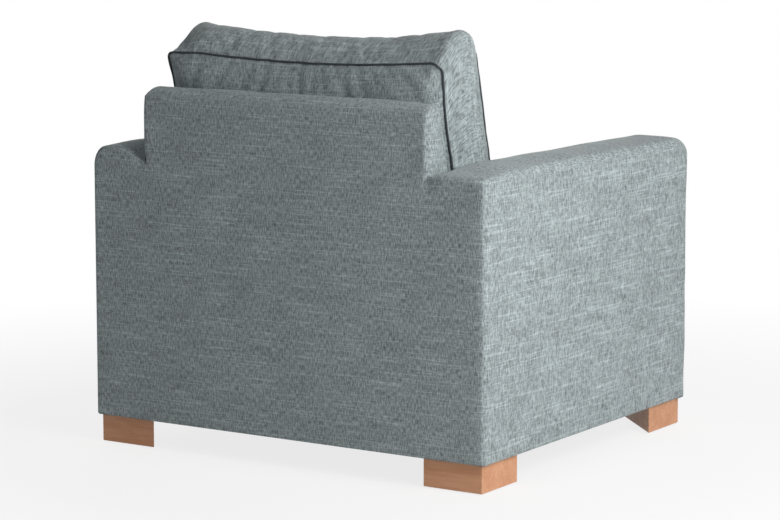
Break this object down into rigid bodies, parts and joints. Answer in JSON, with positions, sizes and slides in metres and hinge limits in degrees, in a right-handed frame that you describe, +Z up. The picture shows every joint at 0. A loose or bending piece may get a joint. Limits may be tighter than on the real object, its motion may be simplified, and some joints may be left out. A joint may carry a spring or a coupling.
{
  "type": "upholstered armchair",
  "caption": "Low square armchair in heathered fabric, with broad padded arms, a loose seat cushion, a loose piped back cushion and beech corner feet.",
  "frame": {"origin": "on the floor, under the middle of the chair", "axes": "+Z up, the chair faces -Y, +X is the sitter's left"},
  "size_m": [0.92, 0.813, 0.8512],
  "materials": {
    "upholstery": "matte",
    "piping": "matte",
    "beech": "satin",
    "felt": "matte",
    "steel": "satin",
    "lining": "matte",
    "foam": "matte",
    "wadding": "matte",
    "webbing": "matte",
    "zip_tape": "matte",
    "zip_metal": "satin",
    "hardboard": "matte",
    "frame_timber": "matte"
  },
  "bodies": {
    "frame": {"arm_bolts": "steel", "back_cleats": "frame_timber", "back_middle_rail": "frame_timber", "back_top_rail": "frame_timber", "back_webbing": "webbing", "deck_edge_foam": "foam", "dust_cover": "lining", "foot_bolts": "steel", "foot_glides": "felt", "foot_tee_nuts": "steel", "front_left_foot": "beech", "front_rail_cover": "upholstery", "front_rail_padding": "foam", "front_right_foot": "beech", "inside_back_cover": "upholstery", "inside_back_padding": "foam", "left_arm_bottom_rail": "frame_timber", "left_arm_cover": "upholstery", "left_arm_front_post": "frame_timber", "left_arm_inner_panel": "frame_timber", "left_arm_outer_panel": "hardboard", "left_arm_padding": "foam", "left_arm_rear_post": "frame_timber", "left_arm_top_rail": "frame_timber", "left_back_upright": "frame_timber", "left_seat_side_rail": "frame_timber", "outside_back_cover": "upholstery", "outside_back_panel": "hardboard", "outside_back_wadding": "wadding", "rear_left_foot": "beech", "rear_right_foot": "beech", "right_arm_bottom_rail": "frame_timber", "right_arm_cover": "upholstery", "right_arm_front_post": "frame_timber", "right_arm_inner_panel": "frame_timber", "right_arm_outer_panel": "hardboard", "right_arm_padding": "foam", "right_arm_rear_post": "frame_timber", "right_arm_top_rail": "frame_timber", "right_back_upright": "frame_timber", "right_seat_side_rail": "frame_timber", "seat_corner_blocks": "frame_timber", "seat_deck_cloth": "lining", "seat_deck_pad": "wadding", "seat_front_rail": "frame_timber", "seat_rear_rail": "frame_timber", "seat_springs": "steel", "spring_clips": "steel"},
    "seat_cushion": {"seat_cushion_core": "foam", "seat_cushion_cover": "upholstery", "seat_cushion_piping": "piping", "seat_cushion_wadding": "wadding", "seat_cushion_zip": "zip_tape"},
    "back_cushion": {"back_cushion_core": "foam", "back_cushion_cover": "upholstery", "back_cushion_piping": "piping", "back_cushion_wadding": "wadding", "back_cushion_zip": "zip_tape"},
    "seat_zip_pull": {"seat_zip_slider": "zip_metal"},
    "back_zip_pull": {"back_zip_slider": "zip_metal"}
  },
  "joints": [
    {"name": "seat_lift", "type": "slide", "parent": "frame", "child": "seat_cushion", "axis": [0, 0, 1], "range_m": [0, 0.46]},
    {"name": "back_lift", "type": "slide", "parent": "seat_cushion", "child": "back_cushion", "axis": [0, 0, 1], "range_m": [0, 0.32]},
    {"name": "seat_zip", "type": "slide", "parent": "seat_cushion", "child": "seat_zip_pull", "axis": [-1, 0, 0], "range_m": [0, 0.52]},
    {"name": "back_zip", "type": "slide", "parent": "back_cushion", "child": "back_zip_pull", "axis": [-1, 0, 0], "range_m": [0, 0.52]}
  ]
}
